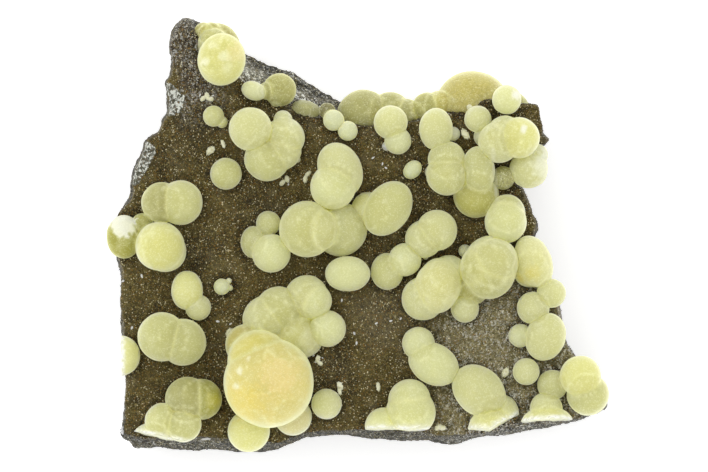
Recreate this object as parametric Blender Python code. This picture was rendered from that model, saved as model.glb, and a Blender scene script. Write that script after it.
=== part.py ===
"""Calcite on matrix: a broken slab of dark rock that lies on its back, with balls of yellow-green
calcite grown on its face, singly and grown together in banks.

The tables are in millimetres. +X runs along the long lower edge, +Y up to the peak of the slab and
+Z out of its face. Heights in the ball table are those of a ball's centre above the face."""

import math

import bmesh
import bpy
from mathutils import Matrix, Vector, noise
from mathutils.bvhtree import BVHTree

MM = 0.001

# Rock: the levels of its thickness, from the flat broken back at zero up to the face
FACE_LEVEL = 17.0
WIDEST_LEVEL = 9.0
LOW_LEVEL = 3.5
SHOULDER_DROP = 3.6
LIP_DROP = 0.3
FOOT_INSET = 4.2
LOW_INSET = 1.1
EDGE_WIDTH = 0.5
SHOULDER_PLACE = 0.5

# How far the broken sides wander in and out, and up and down, and over what length
RAGGED_INSET = 1.6
RAGGED_LEVEL = 2.4
RAGGED_LENGTH = 6.0
FACE_RINGS = (0.86, 0.66, 0.42, 0.2)

# Gentle swells of the face
SWELL_HEIGHT = 0.9
SWELL_LENGTH = 13.0

# Clearance between the rock and what grows on it
GAP = 0.35

# Middle of the rays on which the rock's rings are drawn
HEART = (-2.3, -4.6)

# Silhouette of the rock, clockwise from its peak
OUTLINE = [
    (-29.7, 37.1), (-28.6, 36.9), (-27.3, 36.4), (-24.4, 34.3), (-21.5, 32.8), (-19.6, 31.3),
    (-17.6, 30.3), (-15.0, 29.1), (-12.5, 28.1), (-9.9, 27.0), (-7.2, 25.3), (-4.8, 24.0),
    (-3.5, 22.9), (-1.1, 21.9), (2.8, 21.6), (7.1, 20.9), (11.3, 22.3), (15.2, 24.3),
    (19.0, 25.3), (23.2, 24.3), (26.6, 23.0), (29.3, 22.3), (30.8, 22.4), (31.0, 20.4),
    (31.6, 18.4), (31.4, 17.2), (32.7, 16.5), (32.4, 16.0), (30.9, 15.0), (28.6, 11.9),
    (26.9, 9.4), (28.3, 7.7), (29.0, 6.0), (29.7, 3.9), (30.7, 2.2), (30.7, 1.0),
    (30.3, 0.0), (31.0, -2.2), (32.2, -5.6), (33.6, -9.4), (34.8, -13.9), (35.3, -17.5),
    (35.6, -18.7), (36.3, -19.9), (39.4, -23.8), (41.7, -27.2), (42.8, -28.9), (42.2, -29.9),
    (40.2, -30.5), (37.7, -31.5), (34.3, -32.6), (29.2, -33.5), (22.0, -34.4), (16.6, -35.8),
    (12.2, -35.5), (3.7, -34.8), (-4.8, -34.3), (-8.8, -34.3), (-11.6, -35.8), (-14.2, -36.7),
    (-16.4, -37.1), (-22.2, -36.8), (-29.5, -36.7), (-38.2, -36.3), (-38.7, -35.2), (-40.5, -34.2),
    (-39.9, -29.8), (-39.7, -25.5), (-39.9, -23.3), (-40.2, -19.5), (-40.5, -13.6), (-40.5, -6.8),
    (-41.2, -3.9), (-41.3, 3.1), (-40.8, 3.9), (-39.7, 5.3), (-38.7, 6.6), (-38.8, 8.7),
    (-38.3, 11.1), (-37.1, 13.6), (-36.6, 15.8), (-35.8, 16.9), (-34.3, 17.7), (-33.4, 19.9),
    (-32.6, 20.9), (-32.6, 24.1), (-33.1, 26.4), (-32.1, 27.2), (-31.9, 29.8), (-32.3, 32.3),
    (-31.9, 34.3), (-30.9, 35.9),
]

# Where the face ends above the bevel and ledge of the upper edge, left to right
BROW = [
    (-29.3, 36.6), (-20.8, 26.5), (-16.4, 23.5), (-13.7, 21.8), (-11.6, 20.6), (-8.3, 19.6),
    (-2.3, 18.7), (2.6, 18.4), (8.4, 19.5), (10.5, 19.5), (15.6, 20.4), (17.8, 21.1),
    (22.5, 23.3), (24.9, 22.8), (29.3, 22.0),
]

# Where the face ends above the fresh break of the lower edge, right to left
SILL = [
    (41.9, -29.4), (39.4, -30.5), (36.0, -31.5), (26.8, -32.0), (24.9, -32.4), (22.4, -33.2),
    (20.6, -33.7), (12.2, -33.6), (1.1, -33.2), (-2.3, -32.9), (-6.5, -33.3), (-9.9, -34.0),
    (-13.3, -35.4), (-24.4, -34.5), (-27.3, -34.3), (-30.7, -35.0), (-35.4, -34.9), (-39.9, -33.8),
]

# Balls that grew into each other: across, up, radius and height, and how far one is drawn out.
# A small ball that stands alone is a group of one.
BALLS = {
    "peak_balls": [
        (-23.2, 29.8, 4.1, 2.9, 0.1, 0.7), (-24.7, 32.6, 2.6, -0.6), (-24.3, 31.9, 4.2, -3.3),
        (-26.3, 34.6, 1.6, -1.6), (-25.1, 34.1, 2.1, -1.9),
    ],
    "brow_balls": [
        (-17.8, 24.5, 1.6, 1.2, 1.0, -0.4), (-13.4, 24.7, 2.85, -1.4), (-15.6, 24.5, 1.5, -0.2),
        (-14.0, 22.8, 1.0, -0.7),
    ],
    "brow_dome": [(-9.1, 19.9, 3.0, -3.4, 1.3, -0.5)],
    "brow_twins": [
        (-4.2, 19.5, 1.8, 1.0), (-1.8, 17.7, 1.7, 1.2), (-5.3, 21.1, 1.4, -0.5),
    ],
    "rear_bank": [
        (0.9, 20.2, 4.6, -4.7), (5.4, 20.7, 3.7, -5.1), (7.9, 19.9, 3.4, -4.7),
        (11.8, 21.6, 2.7, -3.3), (19.5, 21.4, 6.6, -6.8), (24.9, 20.4, 4.6, -5.0),
        (13.8, 22.0, 2.6, -3.6),
    ],
    "pointed_bead": [
        (-24.6, 20.2, 1.8, 0.8), (-23.2, 19.2, 1.0, 0.5), (-25.9, 20.2, 0.5, 0.5),
    ],
    "upper_left_balls": [
        (-18.3, 18.0, 3.7, 3.6), (-12.6, 16.5, 3.5, 1.9), (-13.2, 14.5, 3.55, 1.7),
        (-15.5, 13.0, 3.9, 1.9), (-12.8, 19.6, 1.6, 1.5), (-10.3, 12.8, 0.5, 1.5),
    ],
    "left_bead": [(-22.5, 10.4, 2.7, 1.4)],
    "centre_bank": [
        (-3.1, 11.1, 3.7, 2.6, 0.9, -2.0), (-4.3, 8.2, 3.9, 3.4), (-8.7, 1.0, 4.8, 2.9),
        (-6.9, 0.9, 3.7, 3.9), (-3.1, 1.0, 4.6, 0.7), (1.8, 4.2, 3.1, 0.5),
        (5.0, 4.5, 3.8, 2.6, -1.4, -2.0), (-15.3, 2.0, 2.1, 1.0), (-17.8, -1.2, 2.2, 0.9, 0.0, -1.1),
        (-14.8, -3.1, 3.3, 2.0),
    ],
    "pale_egg": [(-1.8, -6.6, 3.0, 2.6, 1.7, 0.0)],
    "chain_balls": [
        (4.9, -6.2, 2.8, 0.9, 0.0, -0.7), (7.9, -4.2, 2.8, 1.9), (13.3, 0.8, 3.5, 2.2),
        (11.1, -0.7, 3.2, 1.9), (11.4, -3.7, 0.5, 1.5),
    ],
    "upper_pair": [
        (5.5, 19.1, 2.9, 1.5), (6.7, 16.0, 2.3, 1.4), (4.8, 15.1, 0.8, 0.9),
    ],
    "upper_bead": [(9.2, 11.1, 1.4, 0.9, 0.5, 0.5)],
    "right_bank": [
        (13.2, 18.0, 2.9, 2.0, 0.0, -1.4), (16.1, 17.2, 1.2, 0.5), (15.0, 12.8, 3.2, 2.0),
        (15.0, 10.2, 3.5, 2.4), (12.5, 10.7, 1.2, 0.5), (20.4, 11.0, 2.8, 2.4, 0.2, -2.6),
        (24.6, 9.7, 2.0, 0.3), (20.0, 6.8, 3.9, 0.1), (25.0, 2.2, 3.6, 2.4),
        (25.2, 3.7, 3.2, 1.4), (22.3, -5.5, 4.7, 2.4, -0.2, -1.5), (23.0, -4.6, 4.2, 3.4),
        (21.3, -5.6, 4.1, 2.9), (29.8, -4.5, 3.1, 1.9, 1.1, -2.8), (29.2, -5.9, 3.0, 0.5),
        (18.1, -2.7, 1.1, 0.5), (19.2, -8.6, 3.3, 0.5), (13.9, -7.5, 3.6, 2.0),
        (13.4, -8.8, 3.95, 2.9, 0.35, 1.2), (11.0, -10.8, 3.7, 1.7), (15.4, -6.5, 3.1, 0.9),
        (18.1, -12.5, 2.4, 1.4), (32.8, -9.9, 2.5, 1.4), (29.7, -12.4, 2.8, 1.4),
        (31.8, -17.3, 3.4, 2.0, -0.5, -1.4), (27.5, -17.1, 2.0, 1.0), (20.3, 19.7, 2.3, 1.2),
        (18.9, 21.7, 0.5, 0.7), (21.3, 16.7, 1.7, 0.9), (23.9, 15.8, 3.6, 2.6),
        (24.9, 17.2, 3.1, 2.4), (27.3, 16.5, 3.5, 3.4), (29.0, 11.2, 3.3, 0.3),
        (30.4, 13.6, 1.9, 0.2),
    ],
    "corner_bead": [(25.2, 23.0, 2.5, 1.5)],
    "left_bank": [
        (-39.8, -0.3, 3.0, 1.0, 0.0, 1.4), (-36.7, 1.8, 1.9, 1.0), (-33.4, 5.5, 3.5, 2.0),
        (-30.2, 5.5, 3.8, 2.4), (-33.7, -1.9, 4.2, 3.3), (-32.8, -2.7, 3.6, 2.0),
    ],
    "left_half_ball": [(-40.5, -20.5, 3.45, 0.7)],
    "left_duo": [(-29.1, -9.4, 2.7, 1.7, 0.0, -1.3), (-27.2, -12.3, 2.2, 1.4)],
    "left_pair": [(-33.3, -17.3, 4.2, 2.4), (-29.8, -18.2, 4.0, 2.2)],
    "orange_bank": [
        (-15.2, -25.0, 7.7, 5.8), (-16.8, -21.5, 5.4, 5.7), (-19.0, -18.7, 3.6, 2.9),
        (-15.5, -14.4, 4.2, 1.9), (-13.5, -12.9, 4.15, 1.9), (-8.8, -10.5, 3.7, 1.9),
        (-7.6, -11.2, 3.1, 2.7), (-5.2, -15.9, 3.1, 2.4), (-9.4, -17.5, 3.4, 0.9),
        (-18.6, -33.3, 3.6, 1.7), (-11.1, -30.9, 3.2, 1.0), (-11.6, -16.5, 4.6, 0.3),
    ],
    "lower_bead": [(-5.4, -28.7, 2.6, 1.7)],
    "lower_bank": [
        (10.2, -18.4, 2.8, 1.7), (12.8, -21.9, 3.5, 2.0, 1.8, -1.0),
        (20.5, -26.5, 4.0, 2.0, 1.6, -1.5), (24.0, -30.3, 3.3, 0.3), (22.8, -33.3, 4.2, 1.9),
    ],
    "lower_trio": [(8.7, -28.1, 3.65, 1.7), (8.9, -30.1, 4.25, 1.6), (4.3, -32.5, 3.2, 0.9)],
    "lower_left_balls": [
        (-29.0, -27.9, 3.85, 1.7), (-26.6, -27.9, 3.45, 1.5), (-33.2, -31.6, 3.1, 1.9),
        (-29.8, -32.1, 3.15, 2.4), (-35.1, -35.5, 3.7, 0.3),
    ],
    "lower_right_bead": [(28.5, -23.2, 2.3, 1.7)],
    "corner_bank": [
        (33.0, -25.5, 2.6, 0.5), (31.9, -29.5, 2.8, 1.0), (32.1, -32.5, 3.5, 1.8, 2.3, 0.0),
        (37.7, -24.0, 3.55, 2.4), (39.0, -27.1, 3.6, 1.0),
    ],
    "notched_bead": [(-23.2, -8.8, 1.4, 0.7), (-21.8, -9.0, 0.5, 0.5), (-22.0, -7.8, 0.5, 0.5)],
}

# Groups broken off along the rock's edge: the break runs between two points of the face and leans
# inwards as it rises, by this much for each millimetre
BREAK_LEAN = 0.1
BREAKS = {
    "left_half_ball": [(-40.2, -24.0, -40.2, -17.0, 0.0)],
    "lower_left_balls": [(-30.7, -35.2, -39.0, -33.3, BREAK_LEAN)],
    "lower_trio": [(14.0, -33.3, 0.0, -33.1, BREAK_LEAN)],
    "lower_bank": [(22.4, -33.4, 18.4, -33.1, BREAK_LEAN), (27.2, -30.5, 22.2, -33.5, BREAK_LEAN)],
    "corner_bank": [(36.8, -31.4, 27.3, -31.9, BREAK_LEAN)],
}

# Lone crystals: across, up, width, length and turn in degrees
CRYSTALS = {
    "star_crystals": [
        (-26.4, 23.2, 0.8, 1.0, 20), (-25.7, 23.6, 0.8, 1.0, 85), (-25.1, 23.1, 0.8, 1.0, 150),
    ],
    "sliver_crystal": [(-23.0, 15.5, 0.6, 1.4, 100)],
    "left_crystal": [(-25.1, 14.4, 1.1, 1.4, 30)],
    "centre_crystal": [(-9.0, 9.5, 0.8, 1.1, 65), (-8.5, 10.4, 0.7, 1.0, 20)],
    "centre_low_crystal": [(-12.9, 8.9, 0.9, 1.1, 15), (-12.1, 9.5, 0.8, 1.0, 80)],
    "ball_side_crystal": [(-22.0, -16.6, 1.0, 1.4, 40)],
    "foot_crystals": [(-6.9, -21.1, 0.8, 1.1, 60), (-6.5, -21.8, 0.7, 1.0, 130)],
    "post_crystal": [(-3.1, -25.7, 1.0, 1.2, 90), (-3.2, -26.5, 0.7, 1.3, 90)],
    "small_post_crystal": [(3.4, -25.8, 0.7, 1.4, 85)],
    "grey_crystal": [(18.2, 17.1, 1.2, 1.7, 100)],
    "right_crystal": [(25.0, -23.4, 1.2, 1.4, 35)],
    "sill_crystals": [(13.6, -32.7, 1.0, 1.1, 10), (14.3, -32.8, 0.9, 1.0, 150)],
}
CRYSTAL_SINK = 0.25
CRYSTAL_SLANT = 0.35
CRYSTAL_RISE = 0.2
CRYSTAL_TILT = 0.35

# Facets: an icosphere of 80 faces for each ball, of 320 for the largest, and about this many
# faces for each ball once they are joined
LARGE_BALL = 6.0
JOINED_FACETS = 60
FACET_FILL = 1.03
TURN_STEP = 2.4

ROCK_ROUGHNESS = 0.8
BALL_ROUGHNESS = 0.55
CRYSTAL_ROUGHNESS = 0.4
ROCK_TINT = (74, 60, 40)
CALCITE_TINT = (208, 208, 142)
WHITE_TINT = (226, 226, 205)
TINTS = {
    "peak_balls": (226, 222, 138),
    "orange_bank": (233, 212, 128),
    "rear_bank": (186, 184, 120),
    "corner_bead": (228, 224, 150),
}


def clear_scene():
    for thing in list(bpy.data.objects):
        bpy.data.objects.remove(thing, do_unlink=True)


def linear(value):
    share = value / 255
    return share / 12.92 if share <= 0.04045 else ((share + 0.055) / 1.055) ** 2.4


def finish(obj, tint, roughness):
    material = bpy.data.materials.new(obj.name + "_finish")
    material.use_nodes = True
    shader = material.node_tree.nodes["Principled BSDF"]
    shader.inputs["Base Color"].default_value = (*(linear(value) for value in tint), 1.0)
    shader.inputs["Roughness"].default_value = roughness
    shader.inputs["Metallic"].default_value = 0.0
    obj.data.materials.clear()
    obj.data.materials.append(material)


def object_from(name, shape):
    """A new object from a bmesh in millimetres, which this uses up."""
    bmesh.ops.recalc_face_normals(shape, faces=shape.faces)
    bmesh.ops.scale(shape, vec=(MM, MM, MM), verts=shape.verts)
    mesh = bpy.data.meshes.new(name)
    shape.to_mesh(mesh)
    shape.free()
    obj = bpy.data.objects.new(name, mesh)
    bpy.context.scene.collection.objects.link(obj)
    return obj


def combine(body, other, operation, keep_other=False):
    """Joins another object to the body, or cuts it away, and leaves a plain mesh."""
    modifier = body.modifiers.new("combine", "BOOLEAN")
    modifier.operation = operation
    modifier.object = other
    graph = bpy.context.evaluated_depsgraph_get()
    mesh = bpy.data.meshes.new_from_object(body.evaluated_get(graph))
    body.modifiers.clear()
    body.data = mesh
    if not keep_other:
        bpy.data.objects.remove(other, do_unlink=True)


def ray_length(line, angle):
    """How far a ray from the heart runs to an open line, or None where it misses."""
    ray = Vector((math.cos(angle), math.sin(angle)))
    heart = Vector(HEART)
    for first, second in zip(line, line[1:]):
        start = Vector(first) - heart
        step = Vector(second) - Vector(first)
        across = ray.x * step.y - ray.y * step.x
        if abs(across) < 1e-9:
            continue
        reach = (start.x * step.y - start.y * step.x) / across
        share = (start.x * ray.y - start.y * ray.x) / across
        if reach > 0 and 0 <= share <= 1:
            return reach
    return None


def swell(x, y):
    return SWELL_HEIGHT * noise.noise(Vector((x, y, 0.0)) / SWELL_LENGTH)


def ragged(point, kind):
    """Between -1 and 1: one of the ways in which the sides wander, at a point of the outline."""
    return noise.noise(Vector((*point, 10.0 * kind)) / RAGGED_LENGTH)


def rock_ray(point, skin):
    """Points of one ray of the rock, from its back round the edge to its face."""
    heart = Vector(HEART)
    edge = Vector(point) - heart
    angle = math.atan2(edge.y, edge.x)
    reach = edge.length
    lip = ray_length(BROW, angle) or ray_length(SILL, angle) or reach - EDGE_WIDTH
    lip = min(lip, reach - EDGE_WIDTH)
    foot = reach - FOOT_INSET - RAGGED_INSET * ragged(point, 0)
    low = reach - LOW_INSET - RAGGED_INSET * abs(ragged(point, 1))
    shoulder = lip + SHOULDER_PLACE * (reach - lip)
    profile = [
        (foot, -skin),
        (low, LOW_LEVEL + RAGGED_LEVEL / 2 * ragged(point, 2)),
        (reach, WIDEST_LEVEL + RAGGED_LEVEL * ragged(point, 3)),
        (shoulder, FACE_LEVEL - SHOULDER_DROP + skin),
    ]
    places = [(distance + skin, level) for distance, level in profile]
    for share in (1.0, *FACE_RINGS):
        place = heart + edge.normalized() * lip * share
        level = FACE_LEVEL + swell(place.x, place.y) + skin
        if share == 1.0:
            places.append((lip + skin, level - LIP_DROP))
        else:
            places.append((lip * share, level))
    ray = edge.normalized()
    return [Vector((*(heart + ray * distance), level)) for distance, level in places]


def rock_shape(skin):
    """The slab as rings of points about its heart. A skin swells it by that much all round."""
    shape = bmesh.new()
    rays = [[shape.verts.new(place) for place in rock_ray(point, skin)] for point in OUTLINE]
    shape.faces.new([ray[0] for ray in rays])
    top = shape.verts.new((*HEART, FACE_LEVEL + swell(*HEART) + skin))
    for ray, after in zip(rays, rays[1:] + rays[:1]):
        for low in range(len(ray) - 1):
            shape.faces.new((ray[low], after[low], after[low + 1], ray[low + 1]))
        shape.faces.new((ray[-1], after[-1], top))
    bmesh.ops.triangulate(shape, faces=shape.faces)
    return shape


def ball_shape(index, across, up, radius, height, draw_x=0.0, draw_y=0.0):
    """One faceted ball, drawn out along the face where it grew long."""
    shape = bmesh.new()
    fineness = 3 if radius > LARGE_BALL else 2
    bmesh.ops.create_icosphere(shape, subdivisions=fineness, radius=radius * FACET_FILL)
    turn = Matrix.Rotation(index * TURN_STEP, 3, Vector((1.0, 0.6, 0.3)))
    bmesh.ops.rotate(shape, matrix=turn, verts=shape.verts)
    draw = Vector((draw_x, draw_y, 0.0))
    if draw.length > 0:
        stretch = 1 + draw.length / (2 * radius)
        longer = Matrix.Scale(stretch, 3, draw.normalized())
        bmesh.ops.transform(shape, matrix=longer.to_4x4(), verts=shape.verts)
    bmesh.ops.translate(shape, vec=(across, up, FACE_LEVEL + height), verts=shape.verts)
    return shape


def break_off(obj, start_x, start_y, end_x, end_y, lean):
    """Cuts a group along a leaning plane and closes it there. The lost part is to the left."""
    along = Vector((end_x - start_x, end_y - start_y, 0.0)).normalized()
    outwards = Vector((-along.y, along.x, lean)).normalized()
    shape = bmesh.new()
    shape.from_mesh(obj.data)
    cut = bmesh.ops.bisect_plane(
        shape,
        geom=shape.verts[:] + shape.edges[:] + shape.faces[:],
        dist=1e-7,
        plane_co=Vector((start_x, start_y, FACE_LEVEL)) * MM,
        plane_no=outwards,
        clear_outer=True,
    )
    rim = [item for item in cut["geom_cut"] if isinstance(item, bmesh.types.BMEdge)]
    bmesh.ops.holes_fill(shape, edges=rim, sides=0)
    bmesh.ops.recalc_face_normals(shape, faces=shape.faces)
    shape.to_mesh(obj.data)
    shape.free()


def thin_out(obj, most):
    """Merges the small facets that joining leaves, down to a number of triangles."""
    facets = sum(len(face.vertices) - 2 for face in obj.data.polygons)
    if facets <= most:
        return
    modifier = obj.modifiers.new("thin_out", "DECIMATE")
    modifier.ratio = most / facets
    graph = bpy.context.evaluated_depsgraph_get()
    mesh = bpy.data.meshes.new_from_object(obj.evaluated_get(graph))
    obj.modifiers.clear()
    obj.data = mesh


def ball_group(name, balls, print_of_rock):
    """Balls grown together in one solid, cut to fit over the rock."""
    group = object_from(name, ball_shape(0, *balls[0]))
    for index, ball in enumerate(balls[1:], 1):
        combine(group, object_from("ball", ball_shape(index, *ball)), "UNION")
    for place in BREAKS.get(name, []):
        break_off(group, *place)
    combine(group, print_of_rock, "DIFFERENCE", keep_other=True)
    thin_out(group, JOINED_FACETS * len(balls))
    finish(group, TINTS.get(name, CALCITE_TINT), BALL_ROUGHNESS)
    return group


def crystal_shape(ground, across, up, width, length, turn):
    """A slanted block of calcite that stands a little into the ground under it."""
    shape = bmesh.new()
    bmesh.ops.create_cube(shape, size=1.0)
    slant = Matrix(((1, CRYSTAL_SLANT, 0), (0, 1, 0), (0, CRYSTAL_RISE, 1)))
    bmesh.ops.transform(shape, matrix=slant.to_4x4(), verts=shape.verts)
    bmesh.ops.scale(shape, vec=(length, width, width), verts=shape.verts)
    bmesh.ops.rotate(shape, matrix=Matrix.Rotation(CRYSTAL_TILT, 3, "Y"), verts=shape.verts)
    bmesh.ops.rotate(shape, matrix=Matrix.Rotation(math.radians(turn), 3, "Z"), verts=shape.verts)
    height = ground(across, up) + width * (0.5 - CRYSTAL_SINK)
    bmesh.ops.translate(shape, vec=(across, up, height), verts=shape.verts)
    return shape


def crystal_group(name, crystals, ground, print_of_rock):
    group = object_from(name, crystal_shape(ground, *crystals[0]))
    for crystal in crystals[1:]:
        combine(group, object_from("crystal", crystal_shape(ground, *crystal)), "UNION")
    combine(group, print_of_rock, "DIFFERENCE", keep_other=True)
    finish(group, WHITE_TINT, CRYSTAL_ROUGHNESS)
    return group


def ground_of(rock):
    """A function that gives the height of the rock's face, in millimetres, at a place."""
    tree = BVHTree.FromObject(rock, bpy.context.evaluated_depsgraph_get())

    def height(across, up):
        hit = tree.ray_cast(Vector((across, up, 2 * FACE_LEVEL)) * MM, Vector((0, 0, -1)))
        return hit[0].z / MM

    return height


def centre_on_origin(pieces):
    """Moves every mesh so that the middle of the underside is at the origin."""
    corners = [vertex.co for piece in pieces for vertex in piece.data.vertices]
    middle_x = (min(co.x for co in corners) + max(co.x for co in corners)) / 2
    middle_y = (min(co.y for co in corners) + max(co.y for co in corners)) / 2
    for piece in pieces:
        piece.data.transform(Matrix.Translation((-middle_x, -middle_y, 0.0)))


def main():
    clear_scene()
    rock = object_from("matrix_rock", rock_shape(0.0))
    finish(rock, ROCK_TINT, ROCK_ROUGHNESS)
    print_of_rock = object_from("rock_print", rock_shape(GAP))
    print_of_rock.hide_render = True
    print_of_rock.display_type = "WIRE"
    pieces = [rock]
    for name, balls in BALLS.items():
        pieces.append(ball_group(name, balls, print_of_rock))
    ground = ground_of(rock)
    for name, crystals in CRYSTALS.items():
        pieces.append(crystal_group(name, crystals, ground, print_of_rock))
    bpy.data.objects.remove(print_of_rock, do_unlink=True)
    centre_on_origin(pieces)


main()
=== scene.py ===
"""Calcite on dark rock: the looks of the broken slab, of the druse on its face, of the balls of
calcite that grew there, singly and in banks, and of the small white crystals between them.

Lengths in the tables are in millimetres. Places are across and up the face, from near its middle,
and the height of a ball is that of its centre above the face."""

import functools
import math
from types import SimpleNamespace

import bmesh
import bpy
import numpy as np
from mathutils import Matrix, Vector, noise
from mathutils.bvhtree import BVHTree


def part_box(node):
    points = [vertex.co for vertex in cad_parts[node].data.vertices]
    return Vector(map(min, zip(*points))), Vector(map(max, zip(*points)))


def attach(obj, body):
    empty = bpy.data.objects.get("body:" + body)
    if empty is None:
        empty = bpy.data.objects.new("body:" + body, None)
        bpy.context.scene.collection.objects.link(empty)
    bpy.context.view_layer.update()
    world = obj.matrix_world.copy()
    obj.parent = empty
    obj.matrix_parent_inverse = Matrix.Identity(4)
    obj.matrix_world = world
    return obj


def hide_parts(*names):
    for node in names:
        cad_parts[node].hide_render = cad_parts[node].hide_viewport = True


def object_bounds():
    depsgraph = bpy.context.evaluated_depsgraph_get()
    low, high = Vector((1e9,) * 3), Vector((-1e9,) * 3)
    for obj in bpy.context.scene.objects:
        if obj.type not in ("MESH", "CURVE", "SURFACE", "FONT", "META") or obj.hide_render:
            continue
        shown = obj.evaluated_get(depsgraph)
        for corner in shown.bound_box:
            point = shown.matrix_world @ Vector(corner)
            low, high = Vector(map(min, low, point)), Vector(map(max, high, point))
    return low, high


MM = 0.001

# Level of the rock's face, and the corners of its outline that reach furthest right and up
FACE_LEVEL = 17.0
FURTHEST_RIGHT = 42.8
FURTHEST_UP = 37.1

# The picture: width of what it takes in at the face, its middle, and the width of the sensor
PICTURE_WIDTH = 120.36
VIEW_CENTRE = (-0.765, -0.17)
SENSOR_WIDTH = 36.0

# In metres: how far off the camera is, where the window is, its size, and half of the floor's side
CAMERA_DISTANCE = 2.0
WINDOW_PLACE = (-0.34, 0.30, 0.62)
WINDOW_SIZE = 0.2
FLOOR_REACH = 3.0

DAYLIGHT = 0.885
WINDOW_POWER = 0.85
FLOOR_GLOW = 0.45

ROCK_POINTS = 0.42
SMOOTHING = 0.5
SMOOTHING_ROUNDS = 5

# Waves that roughen the rock: height, size, seed, and whether they are folded into sharp valleys
FACE_WAVES = [(0.3, 2.6, 0.0, False), (0.16, 0.9, 7.0, False)]
SIDE_WAVES = [(0.45, 4.5, 21.0, False), (0.3, 1.7, 33.0, True), (0.16, 0.7, 44.0, False)]
CHIP_WAVES = [(1.6, 1.4, 51.0, False)]
SIDE_SINK = 0.1

# Where the rock's face ends, for its roughness and for its colour: by its slope and by its level
ROUGH_FACE = ((0.35, 0.8), (FACE_LEVEL - 4, FACE_LEVEL - 2))
BROWN_FACE = ((0.3, 0.75), (FACE_LEVEL - 3, FACE_LEVEL - 1.2))

# Zones of the rock end softly between two limits. The paler corner at the lower right:
CORNER_LEFT = (8, 20)
CORNER_TOP = (-14, -4)

# The peak, where the face is darker, but not along its left rim below the tip
PEAK_RIGHT = (-26, -20)
PEAK_BOTTOM = (16, 26)
PEAK_TIP = (27.5, 30.5)
PEAK_RIM = (-31.5, -29.5)

# The pale bevel of the upper edge, and the break of the lower edge
BEVEL_LEFT = (-24.0, -20.5)
BEVEL_BOTTOM = (17.0, 21.0)
BEVEL_LEVEL = (11.0, 13.5)
SILL_TOP = (-27.0, -30.0)

# Levels and slopes on the sides: the rough part, the foot darkened by painted shade, the lip under
# the face's edge, the steep edge of a break that painted shade darkens, the lowest grey grains, the
# lowest crystals and the end of a fresh patch
ROUGH_LEVEL = (0.2, 1.2)
FOOT_LEVEL = (9.5, 12.0)
LIP_LEVEL = (12.5, 15.5)
EDGE_SLOPE = (0.12, 0.5)
GREY_LEVEL = (2.0, 8.0)
GROWTH_LEVEL = (1, 3)
CHIP_LEVEL = (12.0, 16.0)

# Painted shade darkens the rock this close to a ball, and nothing grows on it this deep inside one.
# The sides carry only a share of the crystals that the face does.
NOOK_SHADE_DEPTH = (-1.7, -0.1)
HIDDEN_DEPTH = 0.15
SIDE_GROWTH = 0.12

# Patches of the face that broke afresh along its left edge
FRESH_BREAKS = [
    [(-32.9, 26.0), (-31.7, 25.7), (-30.3, 24.3), (-29.5, 23.8), (-29.7, 22.4), (-30.0, 21.2),
     (-31.0, 20.4), (-32.4, 20.2)],
    [(-36.3, 16.2), (-34.6, 15.0), (-34.4, 13.9), (-35.1, 12.8), (-35.8, 11.4), (-36.8, 9.7),
     (-37.5, 8.5), (-38.8, 8.3), (-38.8, 9.7), (-37.8, 12.2), (-36.9, 16.0)],
]

# Paler and darker patches of the druse: across, up, reach, tint and strength
GROUND_PATCHES = [
    (3.5, -13.5, 7.5, (114, 105, 78), 0.6), (-28.5, 18.5, 4.5, (56, 50, 26), 0.6),
    (-26.5, -2.5, 5.5, (58, 52, 30), 0.6), (-4.0, -23.0, 5.0, (72, 64, 44), 0.4),
    (12.0, 11.0, 4.0, (62, 54, 24), 0.5), (-19.0, 8.0, 4.0, (66, 58, 30), 0.4),
]

# Crystals of the druse: spacing, how many to a square millimetre, least and most size, and seed
DRUSE = [
    ("druse_grains", 0.26, 8.0, 0.12, 0.2, 3),
    ("druse_glints", 0.9, 0.8, 0.1, 0.17, 11),
]

# A crystal of the druse is a cube drawn out along its diagonal by this
DRUSE_SLANT = 0.3
CHANCE_SEED = 77

# What the geometry nodes that grow the druse are given
SCATTER_INPUTS = [
    ("Surface", "NodeSocketGeometry"), ("Crystal", "NodeSocketObject"),
    ("Spacing", "NodeSocketFloat"), ("Density", "NodeSocketFloat"), ("Seed", "NodeSocketInt"),
    ("Least Size", "NodeSocketFloat"), ("Most Size", "NodeSocketFloat"),
    ("Material", "NodeSocketMaterial"),
]

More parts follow.
